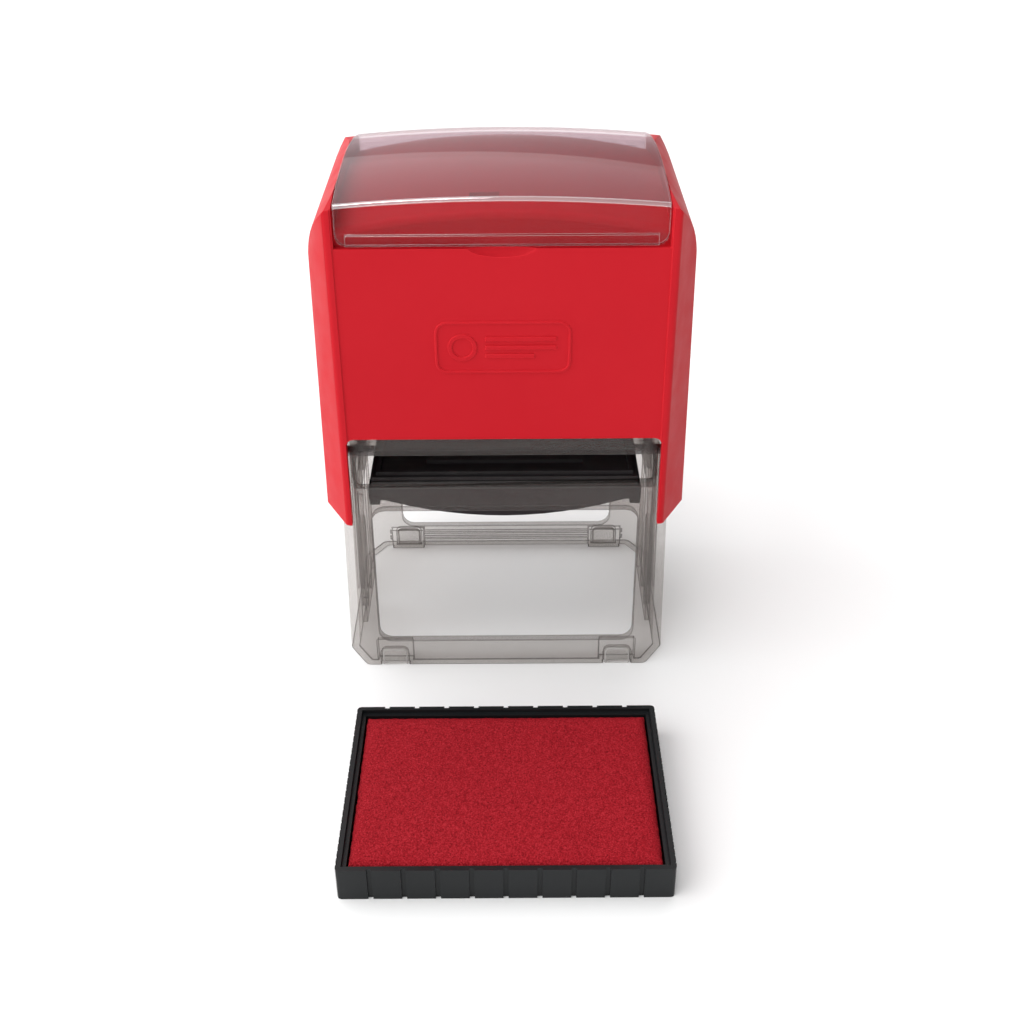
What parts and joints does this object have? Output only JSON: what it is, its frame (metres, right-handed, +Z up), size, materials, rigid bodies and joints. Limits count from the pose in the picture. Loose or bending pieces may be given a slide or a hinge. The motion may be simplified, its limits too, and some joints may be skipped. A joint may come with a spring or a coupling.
{
  "type": "self inking stamp",
  "caption": "Self inking hand stamp with a pressed cap, a flipping platen and a removable ink pad lying in front of it.",
  "frame": {"origin": "on the table, at the middle of the box round stamp and ink pad", "axes": "+Z up, -Y towards the user and the ink pad, +X to the user's right"},
  "size_m": [0.0824, 0.129, 0.1187],
  "materials": {
    "smoke_plastic": "satin",
    "red_plastic": "satin",
    "black_plastic": "matte",
    "steel": "polished",
    "clear_cover": "gloss",
    "cushion_foam": "matte",
    "die_rubber": "matte",
    "tray_plastic": "satin",
    "ink_foam": "matte",
    "foot_plastic": "satin"
  },
  "bodies": {
    "base": {"base_frame": "smoke_plastic", "pad_carrier": "smoke_plastic", "return_spring": "steel", "foot_front_left": "foot_plastic", "foot_front_right": "foot_plastic", "foot_back_left": "foot_plastic", "foot_back_right": "foot_plastic"},
    "cap": {"cap_shell": "red_plastic", "spring_retainer": "black_plastic"},
    "cover": {"index_cover": "clear_cover"},
    "lock_left": {"lock_button_left": "red_plastic"},
    "lock_right": {"lock_button_right": "red_plastic"},
    "platen": {"platen_block": "black_plastic", "platen_cushion": "cushion_foam", "rubber_die": "die_rubber", "axle_pin_left": "steel", "axle_pin_right": "steel", "guide_pin_left": "steel", "guide_pin_right": "steel"},
    "ink_pad": {"pad_tray": "tray_plastic", "ink_foam": "ink_foam"}
  },
  "joints": [
    {"name": "cap_press", "type": "slide", "parent": "base", "child": "cap", "axis": [0, 0, -1], "range_m": [0, 0.0388], "stiffness_N_per_m": 600, "springref_m": -0.012, "deforming": ["return_spring"]},
    {"name": "platen_turn", "type": "hinge", "parent": "cap", "child": "platen", "pos_m": [0, 0.03505, 0.0442], "axis": [1, 0, 0], "range_deg": [0, 180]},
    {"name": "cover_lift", "type": "slide", "parent": "cap", "child": "cover", "axis": [0, 0, 1], "range_m": [0, 0.02]},
    {"name": "lock_left_push", "type": "slide", "parent": "cap", "child": "lock_left", "axis": [1, 0, 0], "range_m": [0, 0.0012], "stiffness_N_per_m": 400, "springref_m": -0.001},
    {"name": "lock_right_push", "type": "slide", "parent": "cap", "child": "lock_right", "axis": [-1, 0, 0], "range_m": [0, 0.0012], "stiffness_N_per_m": 400, "springref_m": -0.001},
    {"name": "ink_pad_lift", "type": "slide", "parent": "base", "child": "ink_pad", "axis": [0, 0, 1], "range_m": [0, 0.05]}
  ],
  "couplings": [
    {"joint": "platen_turn", "follows": "cap_press", "rad_per_m": 80.96}
  ]
}
